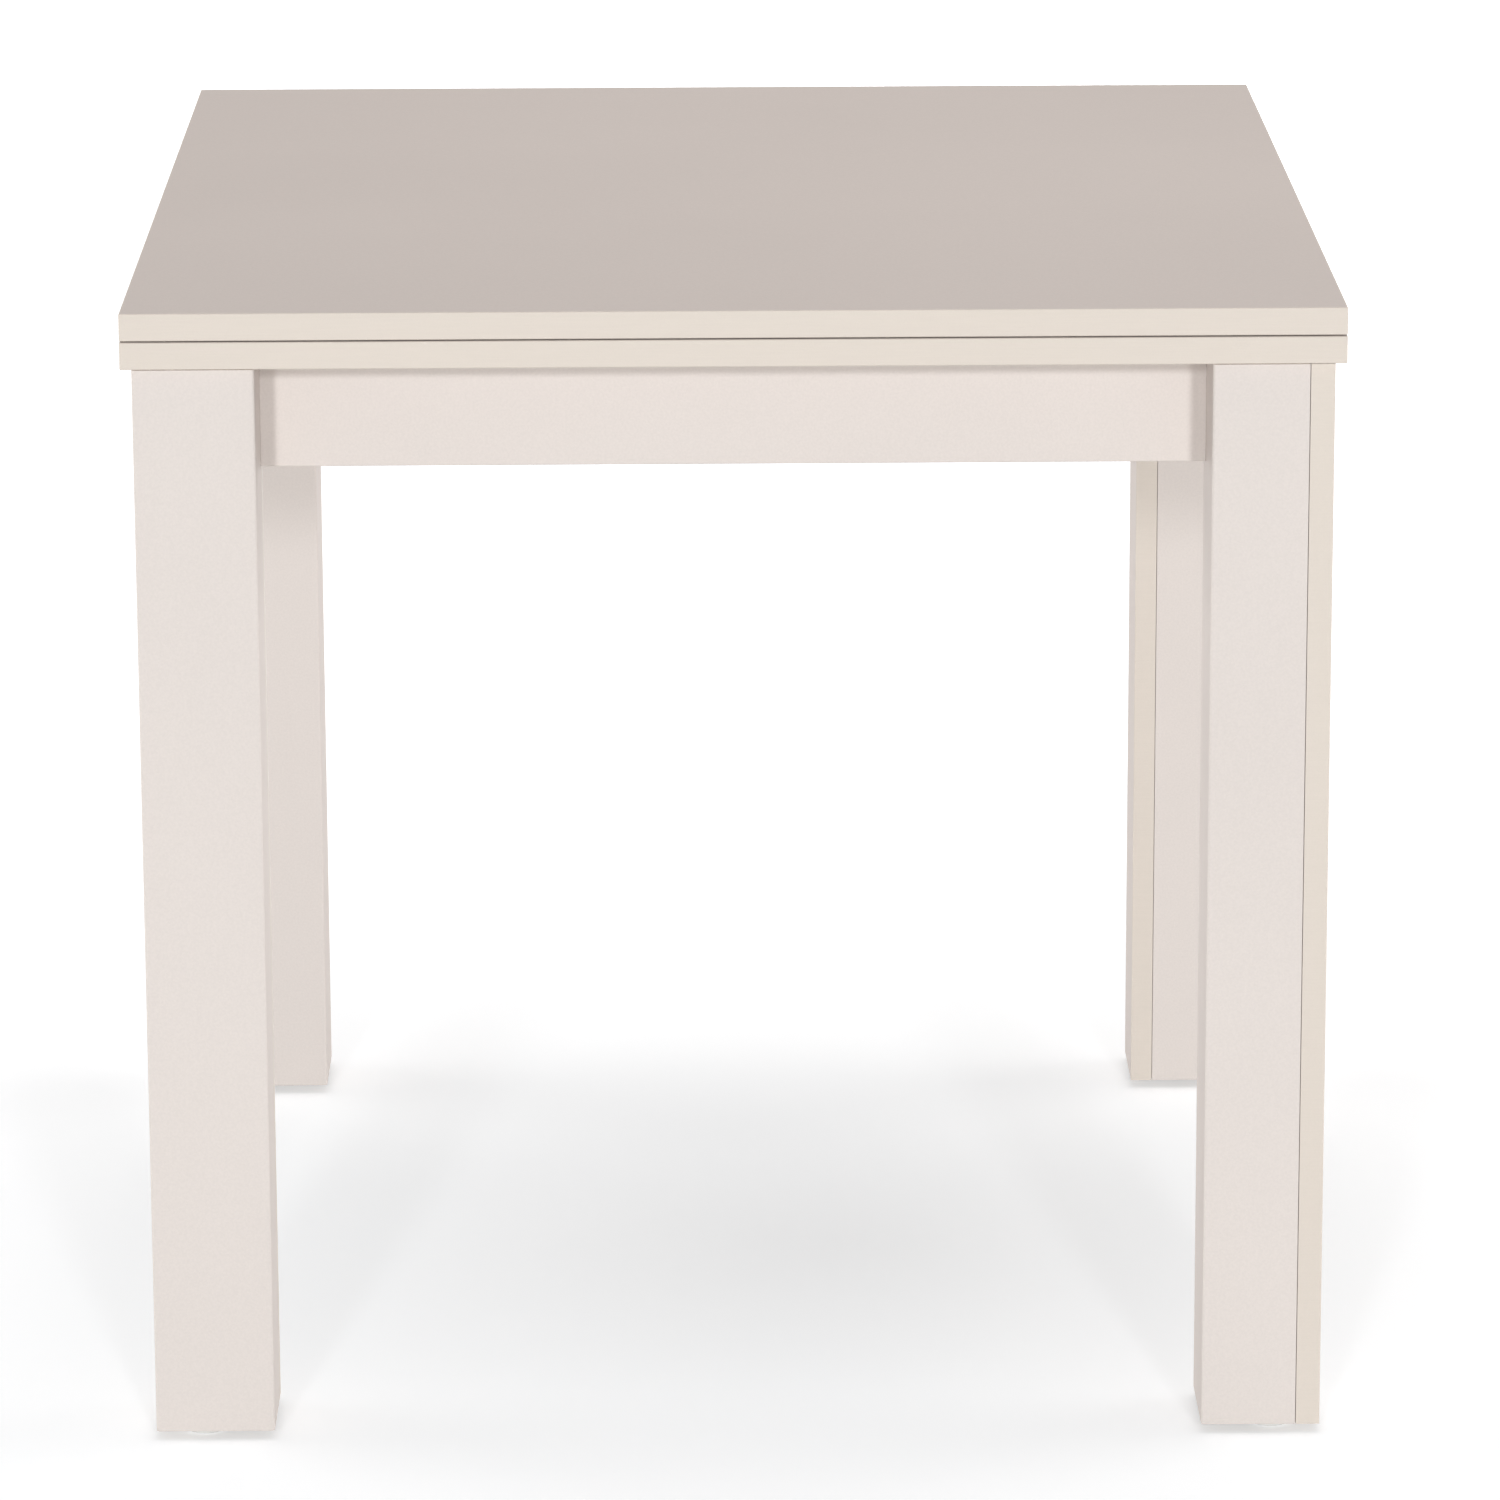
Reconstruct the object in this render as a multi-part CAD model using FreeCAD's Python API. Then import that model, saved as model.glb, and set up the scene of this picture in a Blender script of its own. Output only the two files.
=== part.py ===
import FreeCAD, Part
import math
import os

# An extending table with a fold-over top. Four hollow square legs and four aprons carry two leaves
# that lie one on the other. The pair turns a quarter turn on an off-centre pivot, and then the
# upper leaf folds over on its hinges, which doubles the top.
# Millimetres, +Z up, front towards -Y. The origin is on the floor under the middle of the closed top.

Vec = FreeCAD.Vector
X_AXIS = Vec(1, 0, 0)
Y_AXIS = Vec(0, 1, 0)
Z_AXIS = Vec(0, 0, 1)

# Overall sizes of the closed table
TOP_WIDTH = 800.0
TOP_DEPTH = 900.0
TABLE_HEIGHT = 775.0

# Leaves
LEAF_THICK = 18.0
LEAF_GAP = 1.0            # between the two leaves when closed
SEAM_GAP = 1.0            # between the two leaves when opened out
EDGING_THICK = 1.0        # edge band of the leaves and of the leg covers
EDGING_ARRIS = 0.5
TOP_OVERHANG = 7.0        # leaf edge beyond the legs

# Legs: a shell folded round three sides, and a board that closes the fourth
LEG_SIZE = 80.0
LEG_WALL = 18.0
LEG_COVER_THICK = 16.0
COVER_GAP = 0.35          # shell's edges to the cover
LEG_ARRIS = 1.2           # folded edges of the shell
COVER_ARRIS = 0.6
BLOCK_PLAY = 0.1
TOP_BLOCK_HEIGHT = 90.0
FOOT_BLOCK_HEIGHT = 30.0
GLIDE_THICK = 6.0
GLIDE_RADIUS = 14.0
GLIDE_SIDE_INSET = 32.0   # leg's outer side to the middle of its glide
GLIDE_END_INSET = 26.0    # leg's front or rear face to the middle of its glide

# Aprons
APRON_HEIGHT = 78.0
APRON_THICK = 18.0
APRON_ARRIS = 0.6
APRON_CLIP_ROOM = 1.0     # clipped inner corners of the aprons to the bolts

# Corner plates with their bolts
PLATE_REACH = 42.0        # from the leg's inner corner to the bend, along each apron
PLATE_WING = 18.0
PLATE_THICK = 2.0
PLATE_HEIGHT = 50.0
PLATE_HOLE_ROOM = 0.4
BOLT_RADIUS = 4.0
BOLT_IN_LEG = 45.0
BOLT_SPARE = 5.0          # thread beyond the nut
NUT_HEIGHT = 6.5
NUT_FLATS = 13.0

# Pivot board on its cleats
PIVOT_BOARD_THICK = 18.0
PIVOT_BOARD_MARGIN = 50.0     # board beyond the pivot, on the side away from the corner plates
PIVOT_BOARD_GAP = 3.0         # board to corner plates
CLEAT_SIZE = 20.0

# Swivel
DISC_RADIUS = 60.0
DISC_THICK = 4.0
DISC_ROOM = 0.3
STUD_RADIUS = 8.0
STUD_CHAMFER = 1.5
RUNNING_FIT = 0.05
BUSH_WALL = 3.0
BUSH_FLANGE = 16.0
WASHER_RADIUS = 15.0
WASHER_THICK = 2.5
WASHER_ROOM = 0.1
LOCKNUT_FLATS = 24.0
LOCKNUT_HEIGHT = 13.0
STUD_SPARE = 4.0
STOP_RADIUS = 4.0
STOP_RING = 38.0
STOP_ANGLE = 90.0         # place of the stop screw round the pivot, from +X
STOP_ROOM = 0.3
STOP_TOP_ROOM = 1.0
STOP_SHANK_RADIUS = 2.5
STOP_SHANK_LENGTH = 14.0
TURN = 90.0               # travel of the swivel
SLIDE_GAP = 0.2           # leaf over the slide pads
PAD_THICK = 1.3
PAD_LENGTH = 40.0
PAD_WIDTH = 14.0

# Leaf hinges, let in flush
HINGE_LENGTH = 60.0
HINGE_END_INSET = 120.0   # leaf end to the middle of the end hinges
HINGE_PLATE_WIDTH = 22.0
HINGE_PLATE_THICK = 1.5
HINGE_PLATE_ROOM = 0.2
KNUCKLE_COUNT = 3
KNUCKLE_END_ROOM = 0.15
KNUCKLE_ROOM = 0.4
PIN_RADIUS = 1.0

# Bumpers between the leaves
BUMPER_RADIUS = 5.0
BUMPER_INSET = 20.0
BUMPER_ROOM = 0.1

# Fixed fits of pieces that don't turn on each other
FIT = 0.05
OVERCUT = 1.0             # how far a cutting shape runs past the face that it opens

# Levels and places that follow from the sizes above
UPPER_LEAF_Z = TABLE_HEIGHT - LEAF_THICK
FACING_Z = UPPER_LEAF_Z - LEAF_GAP
LOWER_LEAF_Z = FACING_Z - LEAF_THICK
FRAME_Z = LOWER_LEAF_Z - SLIDE_GAP - PAD_THICK
LEG_OUT_X = TOP_WIDTH / 2 - TOP_OVERHANG
LEG_OUT_Y = TOP_DEPTH / 2 - TOP_OVERHANG
LEG_IN_X = LEG_OUT_X - LEG_SIZE
LEG_IN_Y = LEG_OUT_Y - LEG_SIZE
APRON_Z = FRAME_Z - APRON_HEIGHT
APRON_MID_Z = APRON_Z + APRON_HEIGHT / 2
APRON_CLIP = math.sqrt(2) * (BOLT_RADIUS + APRON_CLIP_ROOM)
HINGE_X = -(TOP_WIDTH + SEAM_GAP) / 2
HINGE_Z = FACING_Z + LEAF_GAP / 2
KNUCKLE_RADIUS = LEAF_GAP / 2 + HINGE_PLATE_THICK
PIVOT_X = HINGE_X / 2     # off centre by a quarter, so that the open top comes to the middle
PIVOT_Y = -HINGE_X / 2
PIVOT_BOARD_Z = FRAME_Z - PIVOT_BOARD_THICK
PIVOT_BOARD_LEFT = -LEG_IN_X + PLATE_REACH + PLATE_WING + PIVOT_BOARD_GAP
PIVOT_BOARD_RIGHT = PIVOT_X + PIVOT_BOARD_MARGIN
BUSH_RADIUS = STUD_RADIUS + BUSH_WALL

# Each leg's corner of the frame: signs of X and Y, the quarter turns that point its inner corner
# at the middle of the table, and the quarter turns of its cover board from the +X side
CORNERS = {
    "front_left": (-1, -1, 0, 1),
    "front_right": (1, -1, 1, 0),
    "rear_right": (1, 1, 2, 2),
    "rear_left": (-1, 1, 3, 2),
}
HINGE_PLACES = {
    "front": -TOP_DEPTH / 2 + HINGE_END_INSET,
    "middle": 0.0,
    "rear": TOP_DEPTH / 2 - HINGE_END_INSET,
}


def block(low, high):
    """A box between two corners, each given as (x, y, z)."""
    return Part.makeBox(high[0] - low[0], high[1] - low[1], high[2] - low[2], Vec(*low))


def eased(shape, size, keep):
    """The shape with a small chamfer on the edges whose middle point passes the test."""
    edges = [edge for edge in shape.Edges if keep(edge.CenterOfMass)]
    return shape.makeChamfer(size, edges)


def near(value, target):
    """Whether two lengths are the same place."""
    return abs(value - target) < 0.001


def quarter_turned(shape, turns, x, y):
    """A copy of the shape, turned about the vertical by quarter turns and moved to a place in plan."""
    moved = shape.copy()
    moved.rotate(Vec(0, 0, 0), Z_AXIS, 90.0 * turns)
    moved.translate(Vec(x, y, 0))
    return moved


def pointed(shape, direction, place):
    """A copy of a shape made along +Z, pointed along a direction from a place."""
    moved = shape.copy()
    moved.Placement = FreeCAD.Placement(place, FreeCAD.Rotation(Z_AXIS, direction))
    return moved


def save(name, solids):
    """Writes one node, which holds one solid or a group of like ones."""
    shape = solids[0] if len(solids) == 1 else Part.makeCompound(solids)
    shape.exportStep("parts/" + name + ".step")


def cut_all(shape, tools):
    """The shape with every tool that reaches it taken away."""
    reaching = [tool for tool in tools if shape.BoundBox.intersect(tool.BoundBox)]
    if not reaching:
        return shape
    return shape.cut(reaching).removeSplitter()


# Legs, made about their own middle with the cover board on the +X side

def leg_shell():
    """Three sides of the leg, folded from one board."""
    half = LEG_SIZE / 2
    seam = half - LEG_COVER_THICK
    outside = block((-half, -half, GLIDE_THICK), (seam - COVER_GAP, half, FRAME_Z))
    outside = eased(outside, LEG_ARRIS, lambda p: near(p.x, -half) and near(abs(p.y), half))
    room = half - LEG_WALL
    inside = block((-room, -room, GLIDE_THICK - OVERCUT), (seam + OVERCUT, room, FRAME_Z + OVERCUT))
    return outside.cut(inside)


def leg_cover():
    """The board that closes the leg, and the edge bands on its two long edges."""
    half = LEG_SIZE / 2
    seam = half - LEG_COVER_THICK
    core = half - EDGING_THICK
    whole = block((seam, -half, GLIDE_THICK), (half, half, FRAME_Z))
    whole = eased(whole, COVER_ARRIS, lambda p: near(p.x, half) and near(abs(p.y), half))
    parts = []
    for low, high in ((-core, core), (-half, -core), (core, half)):
        span = block((seam, low, GLIDE_THICK), (half, high, FRAME_Z))
        parts.append(whole.common(span).Solids[0])
    return parts[0], parts[1:]


def leg_block(low, high):
    """A timber block that fills the leg's hollow between two heights."""
    half = LEG_SIZE / 2
    room = half - LEG_WALL - BLOCK_PLAY
    seam = half - LEG_COVER_THICK - BLOCK_PLAY
    return block((-room, -room, low), (seam, room, high))


def glide(sign_x, sign_y):
    """Round glide under a leg, near its outer corner."""
    place = Vec(sign_x * (LEG_OUT_X - GLIDE_SIDE_INSET), sign_y * (LEG_OUT_Y - GLIDE_END_INSET), 0)
    return Part.makeCylinder(GLIDE_RADIUS, GLIDE_THICK, place, Z_AXIS)


# Corner joints, made with the leg's inner corner at the origin and the table's middle towards +X +Y

def along_diagonal(distance):
    """A point on the hanger bolt's line, measured from the leg's inner corner."""
    step = distance / math.sqrt(2)
    return Vec(step, step, APRON_MID_Z)


def plate_inner_face():
    """Distance of the corner plate's web from the leg's inner corner, to the face under the nut."""
    return PLATE_REACH / math.sqrt(2) + PLATE_THICK


def hanger_bolt(room=0.0):
    """The bolt from inside the leg through the corner plate; room makes its hole."""
    length = BOLT_IN_LEG + plate_inner_face() + NUT_HEIGHT + BOLT_SPARE
    return Part.makeCylinder(BOLT_RADIUS + room, length, along_diagonal(-BOLT_IN_LEG), Vec(1, 1, 0))


def corner_plate():
    """A steel strip bent across the corner, with a wing along each apron."""
    bend = PLATE_THICK * math.tan(math.radians(22.5))
    end = PLATE_REACH + PLATE_WING
    inner = PLATE_REACH + bend
    outline = [
        (end, 0), (PLATE_REACH, 0), (0, PLATE_REACH), (0, end),
        (PLATE_THICK, end), (PLATE_THICK, inner), (inner, PLATE_THICK), (end, PLATE_THICK),
    ]
    low = APRON_MID_Z - PLATE_HEIGHT / 2
    points = [Vec(x, y, low) for x, y in outline]
    face = Part.Face(Part.makePolygon(points + points[:1]))
    plate = face.extrude(Vec(0, 0, PLATE_HEIGHT))
    return plate.cut(hanger_bolt(PLATE_HOLE_ROOM))


def hexagon(flats, height, centre):
    """A hexagonal prism that stands on its centre point."""
    corner_radius = flats / math.sqrt(3)
    corners = []
    for index in range(6):
        angle = math.radians(60 * index)
        corners.append(centre + Vec(corner_radius * math.cos(angle), corner_radius * math.sin(angle), 0))
    return Part.Face(Part.makePolygon(corners + corners[:1])).extrude(Vec(0, 0, height))


def hanger_nut():
    """Nut on the hanger bolt, tight against the corner plate."""
    start = Vec(0, 0, 0)
    nut = hexagon(NUT_FLATS, NUT_HEIGHT, start)
    bore = Part.makeCylinder(BOLT_RADIUS + FIT, NUT_HEIGHT, start, Z_AXIS)
    return pointed(nut.cut(bore), Vec(1, 1, 0), along_diagonal(plate_inner_face()))


def build_legs_and_corners():
    """Writes the legs, corner plates and their fasteners."""
    groups = {"hanger_bolts": [], "hanger_nuts": [], "leg_cover_edging": [], "leg_glides": []}
    for name, (sign_x, sign_y, turns, cover_turns) in CORNERS.items():
        middle_x = sign_x * (LEG_IN_X + LEG_SIZE / 2)
        middle_y = sign_y * (LEG_IN_Y + LEG_SIZE / 2)
        inner_x = sign_x * LEG_IN_X
        inner_y = sign_y * LEG_IN_Y

        def at_corner(shape):
            return quarter_turned(shape, turns, inner_x, inner_y)

        def at_leg(shape):
            return quarter_turned(shape, cover_turns, middle_x, middle_y)

        bolt_hole = at_corner(hanger_bolt(FIT))
        foot_z = GLIDE_THICK
        cover, bands = leg_cover()
        pieces = {
            "leg_shell": leg_shell(),
            "leg_cover": cover,
            "leg_top_block": leg_block(FRAME_Z - TOP_BLOCK_HEIGHT, FRAME_Z),
            "leg_foot_block": leg_block(foot_z, foot_z + FOOT_BLOCK_HEIGHT),
        }
        for piece, shape in pieces.items():
            save(name + "_" + piece, [cut_all(at_leg(shape), [bolt_hole])])
        save(name + "_corner_plate", [at_corner(corner_plate())])
        groups["hanger_bolts"].append(at_corner(hanger_bolt()))
        groups["hanger_nuts"].append(at_corner(hanger_nut()))
        groups["leg_glides"].append(glide(sign_x, sign_y))
        groups["leg_cover_edging"] += [cut_all(at_leg(band), [bolt_hole]) for band in bands]
    for name, solids in groups.items():
        save(name, solids)


def apron(low, high):
    """An apron board with its lower edges eased, and its inner end corners clipped to clear the bolts."""
    board = block((low[0], low[1], APRON_Z), (high[0], high[1], FRAME_Z))
    board = eased(board, APRON_CLIP, lambda p: near(abs(p.x), LEG_IN_X) and near(abs(p.y), LEG_IN_Y))
    long_axis = 0 if high[0] - low[0] > high[1] - low[1] else 1
    middle = ((low[0] + high[0]) / 2, (low[1] + high[1]) / 2)[long_axis]
    return eased(board, APRON_ARRIS, lambda p: near(p.z, APRON_Z) and near(p[long_axis], middle))


def build_aprons():
    """Writes the four aprons."""
    outer_x = LEG_IN_X + APRON_THICK
    outer_y = LEG_IN_Y + APRON_THICK
    boards = {
        "front_apron": apron((-LEG_IN_X, -outer_y), (LEG_IN_X, -LEG_IN_Y)),
        "rear_apron": apron((-LEG_IN_X, LEG_IN_Y), (LEG_IN_X, outer_y)),
        "left_apron": apron((-outer_x, -LEG_IN_Y), (-LEG_IN_X, LEG_IN_Y)),
        "right_apron": apron((LEG_IN_X, -LEG_IN_Y), (outer_x, LEG_IN_Y)),
    }
    for name, board in boards.items():
        save(name, [board])


# The pivot board lies across the frame from front to rear, on two cleats

def stop_place(z):
    """A point on the stop screw's axis."""
    angle = math.radians(STOP_ANGLE)
    return Vec(PIVOT_X + STOP_RING * math.cos(angle), PIVOT_Y + STOP_RING * math.sin(angle), z)


def build_pivot_board():
    """Writes the pivot board, its cleats, bush and stop screw."""
    for name, sign in (("front", -1), ("rear", 1)):
        ends = sorted((sign * LEG_IN_Y, sign * (LEG_IN_Y - CLEAT_SIZE)))
        cleat = block((PIVOT_BOARD_LEFT, ends[0], PIVOT_BOARD_Z - CLEAT_SIZE),
                      (PIVOT_BOARD_RIGHT, ends[1], PIVOT_BOARD_Z))
        save(name + "_cleat", [cleat])

    shank_base = stop_place(FRAME_Z - STOP_SHANK_LENGTH)
    stop_top = LOWER_LEAF_Z + DISC_THICK - STOP_TOP_ROOM
    shoulder = Part.makeCylinder(STOP_RADIUS, stop_top - FRAME_Z, stop_place(FRAME_Z), Z_AXIS)
    shank = Part.makeCylinder(STOP_SHANK_RADIUS, STOP_SHANK_LENGTH, shank_base, Z_AXIS)
    save("stop_screw", [shoulder.fuse(shank)])

    below = Vec(PIVOT_X, PIVOT_Y, PIVOT_BOARD_Z)
    barrel = Part.makeCylinder(BUSH_RADIUS, PIVOT_BOARD_THICK, below, Z_AXIS)
    flange = Part.makeCylinder(BUSH_FLANGE, PAD_THICK, Vec(PIVOT_X, PIVOT_Y, FRAME_Z), Z_AXIS)
    bore = Part.makeCylinder(STUD_RADIUS + RUNNING_FIT, PIVOT_BOARD_THICK + PAD_THICK, below, Z_AXIS)
    save("pivot_bush", [barrel.fuse(flange).cut(bore)])

    board = block((PIVOT_BOARD_LEFT, -LEG_IN_Y, PIVOT_BOARD_Z), (PIVOT_BOARD_RIGHT, LEG_IN_Y, FRAME_Z))
    bush_hole = Part.makeCylinder(BUSH_RADIUS + FIT, PIVOT_BOARD_THICK, below, Z_AXIS)
    stop_hole = Part.makeCylinder(STOP_SHANK_RADIUS + FIT, STOP_SHANK_LENGTH + FIT,
                                  stop_place(FRAME_Z - STOP_SHANK_LENGTH - FIT), Z_AXIS)
    save("pivot_board", [board.cut([bush_hole, stop_hole])])


def build_slide_pads():
    """Writes the felt pads that the turning leaf slides on: one on each leg and each apron."""
    apron_x = LEG_IN_X + APRON_THICK / 2
    apron_y = LEG_IN_Y + APRON_THICK / 2
    leg_x = LEG_IN_X + LEG_SIZE / 2
    leg_y = LEG_IN_Y + LEG_SIZE / 2
    along_x = (PAD_LENGTH / 2, PAD_WIDTH / 2)
    along_y = (PAD_WIDTH / 2, PAD_LENGTH / 2)
    places = [(0, -apron_y, along_x), (0, apron_y, along_x), (-apron_x, 0, along_y), (apron_x, 0, along_y)]
    places += [(sign_x * leg_x, sign_y * leg_y, along_x) for sign_x, sign_y, _, _ in CORNERS.values()]
    pads = []
    for x, y, (half_x, half_y) in places:
        pads.append(block((x - half_x, y - half_y, FRAME_Z), (x + half_x, y + half_y, FRAME_Z + PAD_THICK)))
    save("slide_pads", pads)


# The swivel plate is let into the underside of the lower leaf

def stop_slot():
    """A curved slot that lets the swivel plate turn by its travel round the fixed stop screw."""
    half = STOP_RADIUS + STOP_ROOM
    base = Vec(PIVOT_X, PIVOT_Y, LOWER_LEAF_Z - OVERCUT)
    height = DISC_THICK + 2 * OVERCUT
    outer = Part.makeCylinder(STOP_RING + half, height, base, Z_AXIS, TURN)
    inner = Part.makeCylinder(STOP_RING - half, height, base, Z_AXIS)
    slot = outer.cut(inner)
    for angle in (0.0, TURN):
        turn = math.radians(angle)
        end = base + Vec(STOP_RING * math.cos(turn), STOP_RING * math.sin(turn), 0)
        slot = slot.fuse(Part.makeCylinder(half, height, end, Z_AXIS))
    slot.rotate(base, Z_AXIS, STOP_ANGLE - TURN)
    return slot


def build_swivel():
    """Writes the swivel plate with its stud, and its washer and locknut."""
    centre = Vec(PIVOT_X, PIVOT_Y, LOWER_LEAF_Z)
    washer_z = PIVOT_BOARD_Z - WASHER_ROOM - WASHER_THICK
    nut_z = washer_z - LOCKNUT_HEIGHT
    stud_z = nut_z - STUD_SPARE
    disc = Part.makeCylinder(DISC_RADIUS, DISC_THICK, centre, Z_AXIS)
    disc = disc.cut(stop_slot())
    stud = Part.makeCylinder(STUD_RADIUS, LOWER_LEAF_Z - stud_z, Vec(PIVOT_X, PIVOT_Y, stud_z), Z_AXIS)
    end = [edge for edge in stud.Edges if near(edge.CenterOfMass.z, stud_z)]
    stud = stud.makeChamfer(STUD_CHAMFER, end)
    save("swivel_plate", [disc.fuse(stud).removeSplitter()])

    hole = Part.makeCylinder(STUD_RADIUS + FIT, FRAME_Z - stud_z, Vec(PIVOT_X, PIVOT_Y, stud_z), Z_AXIS)
    washer = Part.makeCylinder(WASHER_RADIUS, WASHER_THICK, Vec(PIVOT_X, PIVOT_Y, washer_z), Z_AXIS)
    save("pivot_washer", [washer.cut(hole)])
    nut = hexagon(LOCKNUT_FLATS, LOCKNUT_HEIGHT, Vec(PIVOT_X, PIVOT_Y, nut_z))
    save("pivot_locknut", [nut.cut(hole)])


# Leaf hinges: the plates lie flush in the facing sides of the leaves, with the pin between the leaves

def knuckle_spans(y):
    """Ends of each knuckle along the hinge at a place, in order."""
    pitch = HINGE_LENGTH / KNUCKLE_COUNT
    start = y - HINGE_LENGTH / 2
    spans = []
    for index in range(KNUCKLE_COUNT):
        low = start + index * pitch + KNUCKLE_END_ROOM
        spans.append((low, low + pitch - 2 * KNUCKLE_END_ROOM))
    return spans


def along_pin(radius, low, high):
    """A cylinder on the hinge's axis between two places."""
    return Part.makeCylinder(radius, high - low, Vec(HINGE_X, low, HINGE_Z), Y_AXIS)


def hinge_plate(y, upper):
    """One plate of a hinge with its knuckles: every second one, and the end ones on the lower plate."""
    low_z = UPPER_LEAF_Z if upper else FACING_Z - HINGE_PLATE_THICK
    half = HINGE_LENGTH / 2
    plate = block((HINGE_X, y - half, low_z),
                  (HINGE_X + HINGE_PLATE_WIDTH, y + half, low_z + HINGE_PLATE_THICK))
    plate = plate.cut(along_pin(KNUCKLE_RADIUS + KNUCKLE_ROOM, y - half - OVERCUT, y + half + OVERCUT))
    root_end = HINGE_X + KNUCKLE_RADIUS + 2 * KNUCKLE_ROOM
    for index, (low, high) in enumerate(knuckle_spans(y)):
        if (index % 2 == 1) == upper:
            root = block((HINGE_X, low, low_z), (root_end, high, low_z + HINGE_PLATE_THICK))
            plate = plate.fuse([root, along_pin(KNUCKLE_RADIUS, low, high)])
    bore = along_pin(PIN_RADIUS + RUNNING_FIT, y - half - OVERCUT, y + half + OVERCUT)
    return plate.cut(bore).removeSplitter()


def hinge_recess(y, upper):
    """What a leaf loses to one hinge: the plate's seat and the room round the knuckles."""
    low_z = UPPER_LEAF_Z if upper else FACING_Z - HINGE_PLATE_THICK
    half = HINGE_LENGTH / 2 + HINGE_PLATE_ROOM
    seat = block((HINGE_X, y - half, low_z),
                 (HINGE_X + HINGE_PLATE_WIDTH + HINGE_PLATE_ROOM, y + half, low_z + HINGE_PLATE_THICK))
    groove = along_pin(KNUCKLE_RADIUS + KNUCKLE_ROOM, y - half, y + half)
    return [seat, groove]


def leaf(low_z, tools):
    """A leaf's board and its four edging strips, less the tools."""
    half_x = TOP_WIDTH / 2
    half_y = TOP_DEPTH / 2
    core_x = half_x - EDGING_THICK
    core_y = half_y - EDGING_THICK
    high_z = low_z + LEAF_THICK
    whole = block((-half_x, -half_y, low_z), (half_x, half_y, high_z))
    rim = whole.makeChamfer(EDGING_ARRIS, whole.Edges)
    board = block((-core_x, -core_y, low_z), (core_x, core_y, high_z))
    strips = []
    for low, high in (
        ((-half_x, -half_y), (half_x, -core_y)),
        ((-half_x, core_y), (half_x, half_y)),
        ((-half_x, -core_y), (-core_x, core_y)),
        ((core_x, -core_y), (half_x, core_y)),
    ):
        strip = rim.common(block((*low, low_z), (*high, high_z)))
        strips.append(cut_all(strip.Solids[0], tools))
    return cut_all(board, tools), strips


def build_leaves():
    """Writes both leaves with their hinges, pins and bumpers."""
    disc_seat = Part.makeCylinder(DISC_RADIUS + DISC_ROOM, DISC_THICK,
                                  Vec(PIVOT_X, PIVOT_Y, LOWER_LEAF_Z), Z_AXIS)
    lower_tools = [disc_seat]
    upper_tools = []
    pins = []
    for name, y in HINGE_PLACES.items():
        save(name + "_hinge_lower_plate", [hinge_plate(y, False)])
        save(name + "_hinge_upper_plate", [hinge_plate(y, True)])
        pins.append(along_pin(PIN_RADIUS, y - HINGE_LENGTH / 2, y + HINGE_LENGTH / 2))
        lower_tools += hinge_recess(y, False)
        upper_tools += hinge_recess(y, True)
    save("hinge_pins", pins)
    for name, low_z, tools in (
        ("lower_leaf", LOWER_LEAF_Z, lower_tools),
        ("upper_leaf", UPPER_LEAF_Z, upper_tools),
    ):
        board, strips = leaf(low_z, tools)
        save(name + "_board", [board])
        save(name + "_edging", strips)

    bumpers = []
    height = LEAF_GAP - BUMPER_ROOM
    inset_y = TOP_DEPTH / 2 - BUMPER_INSET
    for y in (-inset_y, 0, inset_y):
        place = Vec(TOP_WIDTH / 2 - BUMPER_INSET, y, FACING_Z)
        bumpers.append(Part.makeCylinder(BUMPER_RADIUS, height, place, Z_AXIS))
    save("leaf_bumpers", bumpers)


os.makedirs("parts", exist_ok=True)
build_legs_and_corners()
build_aprons()
build_pivot_board()
build_slide_pads()
build_swivel()
build_leaves()
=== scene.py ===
"""Looks of an extending table with a fold-over top: finishes, small fasteners, studio and camera."""
import logging
import math
from dataclasses import dataclass
from enum import Enum
from typing import Iterable, Iterator, Optional

import bmesh
import bpy
from mathutils import Matrix, Vector


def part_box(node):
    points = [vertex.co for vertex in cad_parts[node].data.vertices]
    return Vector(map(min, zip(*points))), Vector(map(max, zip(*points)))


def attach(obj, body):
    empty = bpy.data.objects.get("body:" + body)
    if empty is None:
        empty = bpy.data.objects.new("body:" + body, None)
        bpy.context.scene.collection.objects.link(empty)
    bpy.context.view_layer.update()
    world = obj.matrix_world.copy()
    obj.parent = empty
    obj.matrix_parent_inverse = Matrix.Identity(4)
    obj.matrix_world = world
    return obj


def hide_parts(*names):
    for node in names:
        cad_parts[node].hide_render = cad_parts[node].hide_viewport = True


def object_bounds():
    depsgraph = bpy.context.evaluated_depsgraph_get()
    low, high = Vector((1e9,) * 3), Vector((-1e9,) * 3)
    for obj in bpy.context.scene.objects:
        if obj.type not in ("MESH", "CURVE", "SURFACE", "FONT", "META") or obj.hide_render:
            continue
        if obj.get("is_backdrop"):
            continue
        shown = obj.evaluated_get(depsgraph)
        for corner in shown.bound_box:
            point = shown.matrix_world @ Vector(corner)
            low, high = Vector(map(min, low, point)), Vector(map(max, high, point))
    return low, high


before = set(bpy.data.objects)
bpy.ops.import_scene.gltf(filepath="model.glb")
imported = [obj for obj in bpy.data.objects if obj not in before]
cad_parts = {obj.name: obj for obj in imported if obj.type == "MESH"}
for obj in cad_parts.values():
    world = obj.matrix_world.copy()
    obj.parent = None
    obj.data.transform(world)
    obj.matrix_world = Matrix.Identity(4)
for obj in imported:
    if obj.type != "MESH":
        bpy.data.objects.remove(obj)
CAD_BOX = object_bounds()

logging.basicConfig(level=logging.INFO, format="%(message)s")
LOG = logging.getLogger("table")

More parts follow.
